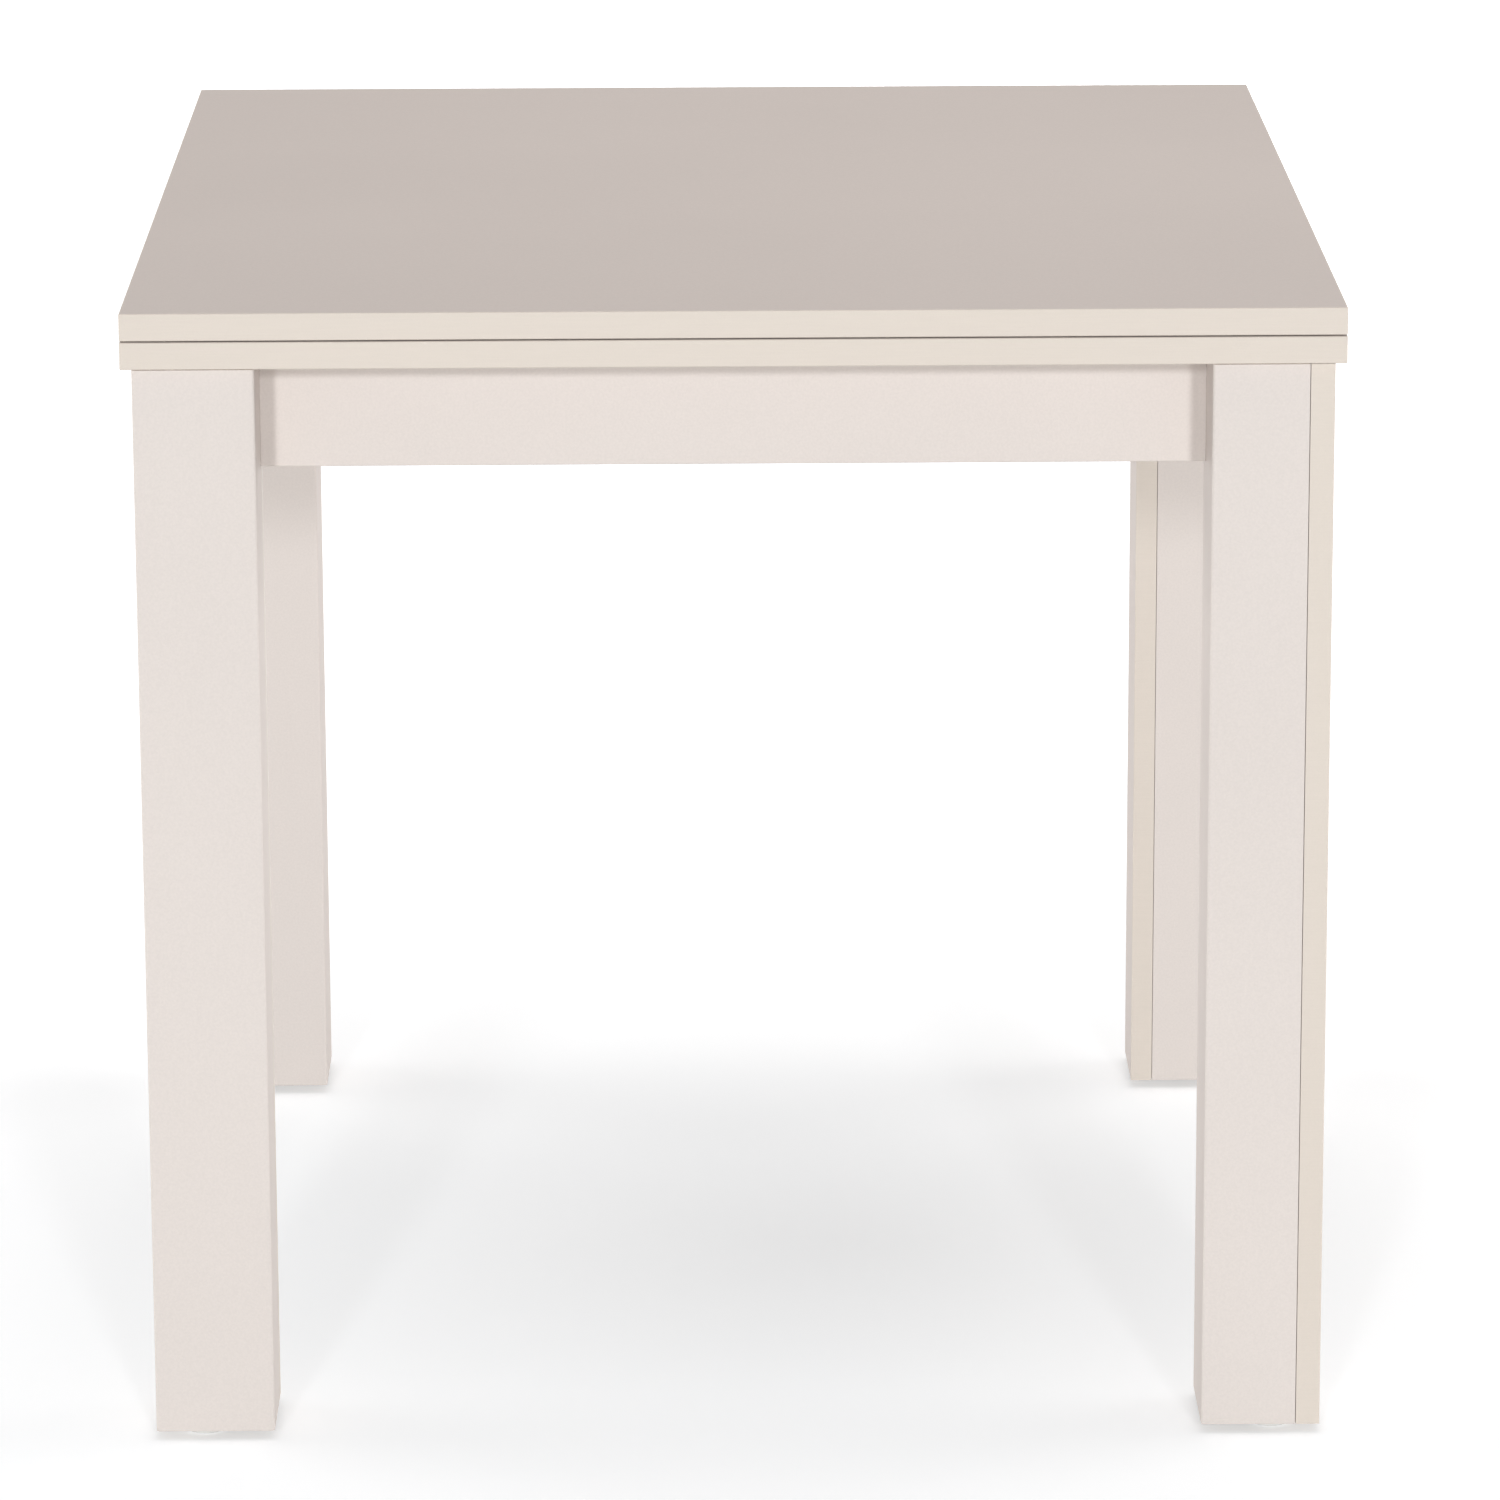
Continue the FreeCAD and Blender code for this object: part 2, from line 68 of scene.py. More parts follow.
Rgb = tuple[float, float, float]
Xyz = tuple[float, float, float]
Span = tuple[float, float]
Socket = bpy.types.NodeSocket
MM = 0.001
SHARP_ANGLE = math.radians(35)
FLAT_ANGLE = math.radians(1)
WELD_REACH = 0.01 * MM
SOFT_EDGE_SEGMENTS = 3
# Where noise values lie: about the middle, mostly within the reach either way.
NOISE_MIDDLE = 0.5
NOISE_REACH = 0.18
# The share of a unit normal along an axis above which a face looks along that axis.
FACING_LIMIT = 0.8
# The colour sockets of a mix node, whose names they share with its other sockets.
MIX_FIRST_COLOR = 6
MIX_SECOND_COLOR = 7
MIX_COLOR_RESULT = 2
UP = Vector((0.0, 0.0, 1.0))
DOWN = Vector((0.0, 0.0, -1.0))
LEG_NAMES = ("front_left", "front_right", "rear_right", "rear_left")
APRON_NAMES = ("front_apron", "rear_apron", "left_apron", "right_apron")
HINGE_NAMES = ("front", "middle", "rear")


class Body(Enum):
    """The bodies that pieces ride on."""

    FRAME = "frame"
    LOWER_LEAF = "lower_leaf"
    UPPER_LEAF = "upper_leaf"


class Slot(Enum):
    """Names of material slots, passed along with new pieces but not read."""

    ZINC = "zinc_steel"
    NICKEL = "hinge_nickel"
    NYLON = "nylon"
    FELT = "felt"
    BUMPER = "bumper"


class Side(Enum):
    """The two leaves, by where they lie when the table is closed."""

    LOWER = "lower"
    UPPER = "upper"


class RawFaces(Enum):
    """Which faces of a board show its bare core, by the axis that they look along."""

    NONE = None
    ALONG_X = 0
    ALONG_Z = 2


class Shader:
    """A node material under construction, whose patterns lie in object coordinates."""

    def __init__(self, name: str) -> None:
        """Starts a material.

        Args:
            name: The material's name.
        """
        self.material = bpy.data.materials.new(name)
        self.material.use_nodes = True
        self.tree = self.material.node_tree
        self.surface = self.tree.nodes["Principled BSDF"]
        coordinates = self.add("ShaderNodeTexCoord")
        self.place: Socket = coordinates.outputs["Object"]
        self.normal: Socket = coordinates.outputs["Normal"]

    def add(self, kind: str, **settings: object) -> bpy.types.Node:
        """Adds a node.

        Args:
            kind: The node's type name.
            settings: Attributes to set on it.

        Returns:
            The node.
        """
        node = self.tree.nodes.new(kind)
        for key, value in settings.items():
            setattr(node, key, value)
        return node

    def link(self, source: Socket, target: Socket) -> None:
        """Links two sockets."""
        self.tree.links.new(source, target)

    def fix(self, **values: object) -> None:
        """Sets constant inputs of the surface shader, with underscores for the spaces in their names."""
        for key, value in values.items():
            self.surface.inputs[key.replace("_", " ")].default_value = value

    def stretched(self, scale: Xyz) -> Socket:
        """Object coordinates stretched along the axes.

        Args:
            scale: Factor along each axis.

        Returns:
            The stretched coordinates.
        """
        mapping = self.add("ShaderNodeMapping")
        mapping.inputs["Scale"].default_value = scale
        self.link(self.place, mapping.inputs["Vector"])
        return mapping.outputs["Vector"]

    def noise(self, scale: float, detail: float = 2.0, place: Optional[Socket] = None) -> Socket:
        """Soft noise.

        Args:
            scale: Blotches to the metre.
            detail: Octaves of finer noise.
            place: Coordinates, or None for plain object coordinates.

        Returns:
            The noise value.
        """
        node = self.add("ShaderNodeTexNoise")
        node.inputs["Scale"].default_value = scale
        node.inputs["Detail"].default_value = detail
        self.link(place or self.place, node.inputs["Vector"])
        return node.outputs["Fac"]

    def flakes(self, scale: float) -> Socket:
        """A random value for each cell of a cell pattern.

        Args:
            scale: Cells to the metre.

        Returns:
            A colour that is the same all over a cell.
        """
        node = self.add("ShaderNodeTexVoronoi")
        node.inputs["Scale"].default_value = scale
        self.link(self.place, node.inputs["Vector"])
        return node.outputs["Color"]

    def spread(self, value: Socket, low: float, high: float) -> Socket:
        """Spreads a noise value over a range.

        Args:
            value: The noise value.
            low: Result at the low end of its reach.
            high: Result at the high end of its reach.

        Returns:
            The value in its new range.
        """
        node = self.add("ShaderNodeMapRange")
        node.inputs["From Min"].default_value = NOISE_MIDDLE - NOISE_REACH
        node.inputs["From Max"].default_value = NOISE_MIDDLE + NOISE_REACH
        node.inputs["To Min"].default_value = low
        node.inputs["To Max"].default_value = high
        self.link(value, node.inputs["Value"])
        return node.outputs["Result"]

    def combine(self, operation: str, first: Socket, second: Socket | float) -> Socket:
        """Arithmetic on two values.

        Args:
            operation: The operation's name.
            first: A value.
            second: A value or a number.

        Returns:
            The result.
        """
        node = self.add("ShaderNodeMath", operation=operation)
        self.link(first, node.inputs[0])
        if isinstance(second, float):
            node.inputs[1].default_value = second
        else:
            self.link(second, node.inputs[1])
        return node.outputs[0]

    def mix(self, factor: Socket, low: Rgb | Socket, high: Rgb | Socket) -> Socket:
        """Mixes two colours.

        Args:
            factor: 0 for the first colour, 1 for the second.
            low: First colour.
            high: Second colour.

        Returns:
            The mixed colour.
        """
        node = self.add("ShaderNodeMix", data_type="RGBA")
        self.link(factor, node.inputs["Factor"])
        for index, color in ((MIX_FIRST_COLOR, low), (MIX_SECOND_COLOR, high)):
            if isinstance(color, tuple):
                node.inputs[index].default_value = (*color, 1.0)
            else:
                self.link(color, node.inputs[index])
        return node.outputs[MIX_COLOR_RESULT]

    def tinted(self, tone: Socket, color: Rgb, tones: Span) -> Socket:
        """A colour that a tone makes darker and lighter.

        Args:
            tone: 0 where the colour is darkest and 1 where it is lightest.
            color: The colour.
            tones: Its factors where it is darkest and lightest.

        Returns:
            The varied colour.
        """
        return self.mix(tone, *(shaded(color, factor) for factor in tones))

    def facing(self, axis: int) -> Socket:
        """Where the surface looks along an axis, either way.

        Args:
            axis: 0, 1 or 2.

        Returns:
            1 on such faces and 0 elsewhere.
        """
        parts = self.add("ShaderNodeSeparateXYZ")
        self.link(self.normal, parts.inputs[0])
        size = self.add("ShaderNodeMath", operation="ABSOLUTE")
        self.link(parts.outputs[axis], size.inputs[0])
        return self.combine("GREATER_THAN", size.outputs[0], FACING_LIMIT)

    def emboss(self, height: Socket, depth: float) -> None:
        """Gives the surface a fine relief.

        Args:
            height: Height from 0 to 1.
            depth: Metres from the lowest to the highest place.
        """
        node = self.add("ShaderNodeBump")
        node.inputs["Distance"].default_value = depth
        self.link(height, node.inputs["Height"])
        self.link(node.outputs["Normal"], self.surface.inputs["Normal"])

    def paint(self, color: Socket) -> None:
        """Links the base colour."""
        self.link(color, self.surface.inputs["Base Color"])

    def polish(self, roughness: Socket) -> None:
        """Links the roughness."""
        self.link(roughness, self.surface.inputs["Roughness"])


def shaded(color: Rgb, factor: float) -> Rgb:
    """A colour made lighter or darker."""
    return tuple(min(1.0, part * factor) for part in color)


@dataclass(frozen=True)
class Chipboard:
    """The bare core of a board, pressed from wood flakes."""

    pale: Rgb = (0.62, 0.46, 0.29)
    dark: Rgb = (0.34, 0.22, 0.12)
    flake: float = 420.0

    def color(self, shader: Shader) -> Socket:
        """The core's colour in a material.

        Args:
            shader: The material.

        Returns:
            The colour.
        """
        value = shader.add("ShaderNodeRGBToBW")
        shader.link(shader.flakes(self.flake), value.inputs[0])
        return shader.mix(value.outputs[0], self.dark, self.pale)


@dataclass(frozen=True)
class Melamine:
    """Matt warm grey melamine: nearly even, with a fine pearl in its surface."""

    name: str
    color: Rgb = (0.731, 0.668, 0.630)
    raw: RawFaces = RawFaces.NONE
    cloud: float = 3.5
    cloud_depth: float = 0.012
    pearl: float = 620.0
    pearl_detail: float = 3.0
    pearl_depth: float = 0.022
    relief: float = 0.00006
    roughness: Span = (0.52, 0.62)
    gloss: float = 0.07

    def material(self) -> bpy.types.Material:
        """Makes the material.

        Returns:
            The material.
        """
        shader = Shader(self.name)
        pearl = shader.noise(self.pearl, self.pearl_detail)
        cloud = shader.noise(self.cloud)
        depth = self.pearl_depth + self.cloud_depth
        share = self.cloud_depth / depth
        tone = shader.combine(
            "ADD",
            shader.spread(pearl, 0.0, 1 - share),
            shader.spread(cloud, 0.0, share),
        )
        color = shader.tinted(tone, self.color, (1 - depth, 1 + depth))
        if self.raw is not RawFaces.NONE:
            color = shader.mix(shader.facing(self.raw.value), color, Chipboard().color(shader))
        shader.paint(color)
        shader.polish(shader.spread(pearl, *self.roughness))
        shader.emboss(pearl, self.relief)
        shader.fix(Specular_IOR_Level=self.gloss)
        return shader.material


@dataclass(frozen=True)
class EdgeBand:
    """Satin edge band, a little creamier than the melamine, with faint lines along its length."""

    name: str = "edge_band"
    color: Rgb = (0.702, 0.630, 0.561)
    line: float = 900.0
    line_stretch: Xyz = (0.04, 0.04, 1.0)
    line_share: float = 0.5
    depth: float = 0.018
    relief: float = 0.00004
    roughness: Span = (0.36, 0.46)
    gloss: float = 0.2

    def material(self) -> bpy.types.Material:
        """Makes the material.

        Returns:
            The material.
        """
        shader = Shader(self.name)
        lines = shader.noise(self.line, place=shader.stretched(self.line_stretch))
        pearl = shader.noise(self.line)
        tone = shader.combine(
            "ADD",
            shader.spread(lines, 0.0, self.line_share),
            shader.spread(pearl, 0.0, 1 - self.line_share),
        )
        shader.paint(shader.tinted(tone, self.color, (1 - self.depth, 1 + self.depth)))
        shader.polish(shader.spread(pearl, *self.roughness))
        shader.emboss(tone, self.relief)
        shader.fix(Specular_IOR_Level=self.gloss)
        return shader.material


@dataclass(frozen=True)
class Softwood:
    """Planed softwood, with its grain along one axis."""

    name: str
    stretch: Xyz
    pale: Rgb = (0.62, 0.44, 0.26)
    dark: Rgb = (0.44, 0.27, 0.13)
    grain: float = 160.0
    grain_detail: float = 4.0
    grain_share: float = 0.8
    fibre: float = 1400.0
    relief: float = 0.0002
    roughness: Span = (0.55, 0.7)

    def material(self) -> bpy.types.Material:
        """Makes the material.

        Returns:
            The material.
        """
        shader = Shader(self.name)
        along = shader.stretched(self.stretch)
        grain = shader.noise(self.grain, self.grain_detail, along)
        fibre = shader.noise(self.fibre, place=along)
        tone = shader.combine(
            "ADD",
            shader.spread(grain, 0.0, self.grain_share),
            shader.spread(fibre, 0.0, 1 - self.grain_share),
        )
        shader.paint(shader.mix(tone, self.pale, self.dark))
        shader.polish(shader.spread(fibre, *self.roughness))
        shader.emboss(tone, self.relief)
        return shader.material


@dataclass(frozen=True)
class PlatedSteel:
    """Bright plated steel, with a cloudy plate and fine rolling marks."""

    name: str
    color: Rgb
    roughness: Span
    mark: float = 1500.0
    mark_stretch: Xyz = (1.0, 1.0, 0.06)
    mark_depth: float = 0.000005
    cloud: float = 90.0
    cloud_detail: float = 3.0
    cloud_tones: Span = (0.88, 1.08)

    def material(self) -> bpy.types.Material:
        """Makes the material.

        Returns:
            The material.
        """
        shader = Shader(self.name)
        cloud = shader.noise(self.cloud, self.cloud_detail)
        marks = shader.noise(self.mark, place=shader.stretched(self.mark_stretch))
        shader.paint(shader.tinted(shader.spread(cloud, 0.0, 1.0), self.color, self.cloud_tones))
        shader.polish(shader.spread(marks, *self.roughness))
        shader.emboss(marks, self.mark_depth)
        shader.fix(Metallic=1.0)
        return shader.material


@dataclass(frozen=True)
class MouldedPlastic:
    """Moulded plastic with a fine skin texture."""

    name: str
    color: Rgb
    roughness: Span = (0.38, 0.5)
    skin: float = 1800.0
    skin_depth: float = 0.00004
    cloud: float = 120.0
    cloud_tones: Span = (0.96, 1.03)
    glow: float = 0.0
    glow_reach: float = 0.004

    def material(self) -> bpy.types.Material:
        """Makes the material.

        Returns:
            The material.
        """
        shader = Shader(self.name)
        skin = shader.noise(self.skin)
        cloud = shader.noise(self.cloud)
        shader.paint(shader.tinted(shader.spread(cloud, 0.0, 1.0), self.color, self.cloud_tones))
        shader.polish(shader.spread(skin, *self.roughness))
        shader.emboss(skin, self.skin_depth)
        shader.fix(Subsurface_Weight=self.glow, Subsurface_Scale=self.glow_reach)
        return shader.material


@dataclass(frozen=True)
class Felt:
    """Pressed grey felt."""

    name: str = "felt"
    pale: Rgb = (0.46, 0.44, 0.41)
    dark: Rgb = (0.24, 0.23, 0.21)
    fibre: float = 1300.0
    fibre_detail: float = 5.0
    fibre_stretch: Xyz = (1.0, 0.4, 1.0)
    relief: float = 0.0004
    roughness: Span = (0.85, 0.98)
    sheen: float = 0.35
    sheen_roughness: float = 0.5

    def material(self) -> bpy.types.Material:
        """Makes the material.

        Returns:
            The material.
        """
        shader = Shader(self.name)
        fibre = shader.noise(self.fibre, self.fibre_detail, shader.stretched(self.fibre_stretch))
        shader.paint(shader.mix(shader.spread(fibre, 0.0, 1.0), self.dark, self.pale))
        shader.polish(shader.spread(fibre, *self.roughness))
        shader.emboss(fibre, self.relief)
        shader.fix(Sheen_Weight=self.sheen, Sheen_Roughness=self.sheen_roughness)
        return shader.material


@dataclass(frozen=True)
class Finishes:
    """Every finish of the table, made once."""

    board: bpy.types.Material
    leg_board: bpy.types.Material
    pivot_board: bpy.types.Material
    band: bpy.types.Material
    block_wood: bpy.types.Material
    cleat_wood: bpy.types.Material
    zinc: bpy.types.Material
    nickel: bpy.types.Material
    nylon: bpy.types.Material
    glide: bpy.types.Material
    bumper: bpy.types.Material
    felt: bpy.types.Material

    @classmethod
    def make(cls) -> "Finishes":
        """Makes the materials.

        Returns:
            The finishes.
        """
        return cls(
            board=Melamine("melamine").material(),
            leg_board=Melamine("melamine_raw_ends", raw=RawFaces.ALONG_Z).material(),
            pivot_board=Melamine("melamine_raw_sides", raw=RawFaces.ALONG_X).material(),
            band=EdgeBand().material(),
            block_wood=Softwood("block_wood", (1.0, 1.0, 0.06)).material(),
            cleat_wood=Softwood("cleat_wood", (0.06, 1.0, 1.0)).material(),
            zinc=PlatedSteel("zinc_plate", (0.60, 0.61, 0.62), (0.26, 0.4)).material(),
            nickel=PlatedSteel(
                "nickel_plate", (0.64, 0.61, 0.57), (0.2, 0.32), mark_stretch=(1.0, 0.05, 1.0),
            ).material(),
            nylon=MouldedPlastic("nylon", (0.80, 0.78, 0.72), glow=0.2).material(),
            glide=MouldedPlastic("glide_plastic", (0.80, 0.80, 0.78)).material(),
            bumper=MouldedPlastic("bumper_gel", (0.74, 0.72, 0.69), (0.12, 0.2), glow=0.4).material(),
            felt=Felt().material(),
        )


def coat(node: str, material: bpy.types.Material) -> None:
    """Gives a node of the frame its finish.

    Args:
        node: The node's name.
        material: The finish.
    """
    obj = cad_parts[node]
    if not obj.material_slots:
        obj.data.materials.append(material)
    for slot in obj.material_slots:
        slot.material = material
    LOG.info("%s: %s", node, material.name)


def soften(node: str, width: float) -> None:
    """Rounds the sharp edges of a node of the frame.

    Args:
        node: The node's name.
        width: How far the rounding reaches from the edge, in metres.
    """
    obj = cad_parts[node]
    weld = obj.modifiers.new("weld", "WELD")
    weld.merge_threshold = WELD_REACH
    flat = obj.modifiers.new("whole_faces", "DECIMATE")
    flat.decimate_type = "DISSOLVE"
    flat.angle_limit = FLAT_ANGLE
    bevel = obj.modifiers.new("soft_edges", "BEVEL")
    bevel.width = width
    bevel.segments = SOFT_EDGE_SEGMENTS
    bevel.limit_method = "ANGLE"
    bevel.angle_limit = SHARP_ANGLE
    bevel.use_clamp_overlap = True
    normals = obj.modifiers.new("even_faces", "WEIGHTED_NORMAL")
    normals.keep_sharp = False


def add_piece(
    name: str, bm: bmesh.types.BMesh, material: bpy.types.Material, body: Body, slot: Slot
) -> bpy.types.Object:
    """Makes an object of a finished bmesh and puts it on its body.

    Args:
        name: The piece's name.
        bm: Its shape, which is freed.
        material: Its finish.
        body: The body that it rides on.
        slot: A material slot name for its finish; not used.

    Returns:
        The object.
    """
    bmesh.ops.recalc_face_normals(bm, faces=bm.faces)
    mesh = bpy.data.meshes.new(name)
    bm.to_mesh(mesh)
    bm.free()
    mesh.shade_smooth()
    mesh.set_sharp_from_angle(angle=SHARP_ANGLE)
    mesh.materials.append(material)
    obj = bpy.data.objects.new(name, mesh)
    bpy.context.scene.collection.objects.link(obj)
    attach(obj, body.value)
    LOG.info("%s: %d faces on %s", name, len(mesh.polygons), body.value)
    return obj


def aimed(place: Vector, direction: Vector) -> Matrix:
    """The matrix that takes a shape made along +Z to a place and a direction."""
    return Matrix.Translation(place) @ direction.to_track_quat("Z", "Y").to_matrix().to_4x4()


def lifted(bm: bmesh.types.BMesh, face: bmesh.types.BMFace) -> bmesh.types.BMFace:
    """Extrudes one face in place.

    Args:
        bm: The shape.
        face: The face, which is used up.

    Returns:
        The new face, to be moved to where it belongs.
    """
    return bmesh.ops.extrude_discrete_faces(bm, faces=[face])["faces"][0]


def crowned(
    bm: bmesh.types.BMesh, face: bmesh.types.BMFace, radius: float, height: float,
    sweep: float, steps: int, fullness: float,
) -> bmesh.types.BMFace:
    """Extrudes a round face at the origin into a crown.

    Args:
        bm: The shape.
        face: The face, which is used up.
        radius: The crown's radius at its foot.
        height: The height that a crown of a full quarter turn would reach.
        sweep: How far the crown curves in, where a quarter turn reaches its middle.
        steps: Faces from its foot to its top.
        fullness: 1 for an elliptical crown, less for one with steeper sides.

    Returns:
        The crown's top face.
    """
    for step in range(1, steps + 1):
        angle = sweep * step / steps
        face = lifted(bm, face)
        for vert in face.verts:
            spread = vert.co.xy.normalized() * radius * math.cos(angle)
            vert.co = (*spread, height * math.sin(angle) ** fullness)
    return face


def rounded(
    bm: bmesh.types.BMesh, edges: list[bmesh.types.BMEdge], width: float, segments: int
) -> None:
    """Rounds edges of a shape.

    Args:
        bm: The shape.
        edges: The edges.
        width: How far the rounding reaches from each edge.
        segments: Faces across the rounding.
    """
    bmesh.ops.bevel(
        bm, geom=edges, offset=width, affect="EDGES", segments=segments, profile=0.5, material=-1,
    )


def close_ends(bm: bmesh.types.BMesh) -> None:
    """Closes every open end of a shape."""
    bmesh.ops.holes_fill(bm, edges=[edge for edge in bm.edges if edge.is_boundary], sides=0)


def copied(shape: bmesh.types.BMesh, places: Iterable[Matrix]) -> bmesh.types.BMesh:
    """Sets copies of a shape at several places.

    Args:
        shape: The shape, made at the origin, which is freed.
        places: Where each copy goes.

    Returns:
        All the copies as one shape.
    """
    mesh = bpy.data.meshes.new("copied")
    shape.to_mesh(mesh)
    shape.free()
    bm = bmesh.new()
    for place in places:
        before = len(bm.verts)
        bm.from_mesh(mesh)
        bm.verts.ensure_lookup_table()
        bmesh.ops.transform(bm, matrix=place, verts=bm.verts[before:])
    bpy.data.meshes.remove(mesh)
    return bm


@dataclass(frozen=True)
class CrossHeadScrew:
    """The head of a wood screw with a cross recess, seated on a face."""

    radius: float = 3.6 * MM
    height: float = 1.2 * MM
    arm: float = 1.7 * MM
    slot: float = 0.45 * MM
    depth: float = 0.8 * MM
    taper: float = 0.6
    rim: float = 1.3
    crown_steps: int = 4
    fullness: float = 0.5
    points: int = 24

    def cross(self, turn: int) -> Vector:
        """A point of the cross's outline.

        Args:
            turn: Which of its points, counted round from +X, with six to each arm.

        Returns:
            The point on the XY plane.
        """
        half = (self.arm + self.slot) / 2
        arm = (
            (self.arm, 0.0, 0.0), (self.arm, self.slot, 0.0), (half, self.slot, 0.0),
            (self.slot, self.slot, 0.0), (self.slot, half, 0.0), (self.slot, self.arm, 0.0),
        )
        return Matrix.Rotation(turn // len(arm) * math.pi / 2, 3, "Z") @ Vector(arm[turn % len(arm)])

    def model(self) -> bmesh.types.BMesh:
        """Models one head, which stands on the XY plane and points along +Z.

        Returns:
            Its shape.
        """
        bm = bmesh.new()
        bmesh.ops.create_circle(bm, cap_ends=True, segments=self.points, radius=self.radius)
        face = next(iter(bm.faces))
        sweep = math.acos(self.arm * self.rim / self.radius)
        face = crowned(bm, face, self.radius, self.height, sweep, self.crown_steps, self.fullness)
        face = lifted(bm, face)
        for vert in face.verts:
            turn = round(math.atan2(vert.co.y, vert.co.x) / (2 * math.pi) * self.points)
            vert.co = self.cross(turn % self.points) + UP * self.height
        face = lifted(bm, face)
        for vert in face.verts:
            vert.co = (vert.co.x * self.taper, vert.co.y * self.taper, self.height - self.depth)
        close_ends(bm)
        return bm


@dataclass(frozen=True)
class ThreadedRod:
    """A round rod with a screw thread on its outer end, made along +Z."""

    radius: float
    length: float
    threaded: float
    pitch: float = 1.25 * MM
    thread_depth: float = 0.55 * MM
    crest: float = 0.12
    root: float = 0.45
    end_rounding: float = 0.6 * MM
    end_segments: int = 2
    core_points: int = 32
    steps: int = 18

    def model(self) -> bmesh.types.BMesh:
        """Models the rod.

        Returns:
            Its core and thread as one shape.
        """
        bm = bmesh.new()
        core = self.radius - self.thread_depth
        profile = (
            (core - self.thread_depth, -self.root), (self.radius, -self.crest),
            (self.radius, self.crest), (core - self.thread_depth, self.root),
        )
        bmesh.ops.create_circle(bm, cap_ends=False, segments=len(profile), radius=self.radius)
        base = self.length - self.threaded
        for vert, (out, along) in zip(bm.verts, profile):
            vert.co = (out, 0.0, base + along * self.pitch)
        turns = int(self.threaded / self.pitch) - 1
        bmesh.ops.spin(
            bm, geom=[*bm.verts, *bm.edges], cent=(0, 0, 0), axis=UP, dvec=UP * self.pitch / self.steps,
            angle=2 * math.pi * turns, steps=self.steps * turns, use_merge=False,
        )
        close_ends(bm)
        rod = bmesh.ops.create_cone(
            bm, cap_ends=True, segments=self.core_points, radius1=core, radius2=core, depth=self.length,
            matrix=Matrix.Translation(UP * self.length / 2),
        )["verts"]
        outer = {vert for vert in rod if vert.co.z > self.length / 2}
        end = [edge for edge in bm.edges if outer.issuperset(edge.verts)]
        rounded(bm, end, self.end_rounding, self.end_segments)
        return bm


@dataclass(frozen=True)
class FeltStrip:
    """A strip cut from pressed felt, lying on the XY plane along X, with its top edges worn round."""

    height: float
    length: float = 40.0 * MM
    width: float = 14.0 * MM
    corner: float = 3.0 * MM
    corner_steps: int = 5
    worn: float = 0.45 * MM
    worn_steps: int = 3

    def model(self) -> bmesh.types.BMesh:
        """Models the strip.

        Returns:
            Its shape.
        """
        bm = bmesh.new()
        size = Matrix.Diagonal((self.length, self.width, self.height, 1.0))
        bmesh.ops.create_cube(bm, size=1.0, matrix=Matrix.Translation(UP * self.height / 2) @ size)
        upright = [edge for edge in bm.edges if edge.verts[0].co.xy == edge.verts[1].co.xy]
        rounded(bm, upright, self.corner, self.corner_steps)
        top = [edge for edge in bm.edges if all(vert.co.z > self.height / 2 for vert in edge.verts)]
        rounded(bm, top, self.worn, self.worn_steps)
        return bm


@dataclass(frozen=True)
class BumperDot:
    """A soft domed dot, standing on the XY plane."""

    radius: float
    height: float
    sweep: float = math.radians(82)
    fullness: float = 1.0
    steps: int = 7
    points: int = 40

    def model(self) -> bmesh.types.BMesh:
        """Models the dot.

        Returns:
            Its shape.
        """
        bm = bmesh.new()
        bmesh.ops.create_circle(bm, cap_ends=True, segments=self.points, radius=self.radius)
        face = next(iter(bm.faces))
        crowned(bm, face, self.radius, self.height, self.sweep, self.steps, self.fullness)
        close_ends(bm)
        return bm


@dataclass
class Legs:
    """The four legs: folded shells, banded covers, inner blocks and glides."""

    fold_rounding: float = 0.8 * MM
    glide_rounding: float = 1.0 * MM

    def dress(self, finishes: Finishes) -> None:
        """Gives every leg piece its finish.

        Args:
            finishes: The table's finishes.
        """
        for leg in LEG_NAMES:
            for part in ("leg_shell", "leg_cover"):
                coat(f"{leg}_{part}", finishes.leg_board)
            soften(f"{leg}_leg_shell", self.fold_rounding)
            for part in ("leg_top_block", "leg_foot_block"):
                coat(f"{leg}_{part}", finishes.block_wood)
        coat("leg_cover_edging", finishes.band)
        coat("leg_glides", finishes.glide)
        soften("leg_glides", self.glide_rounding)


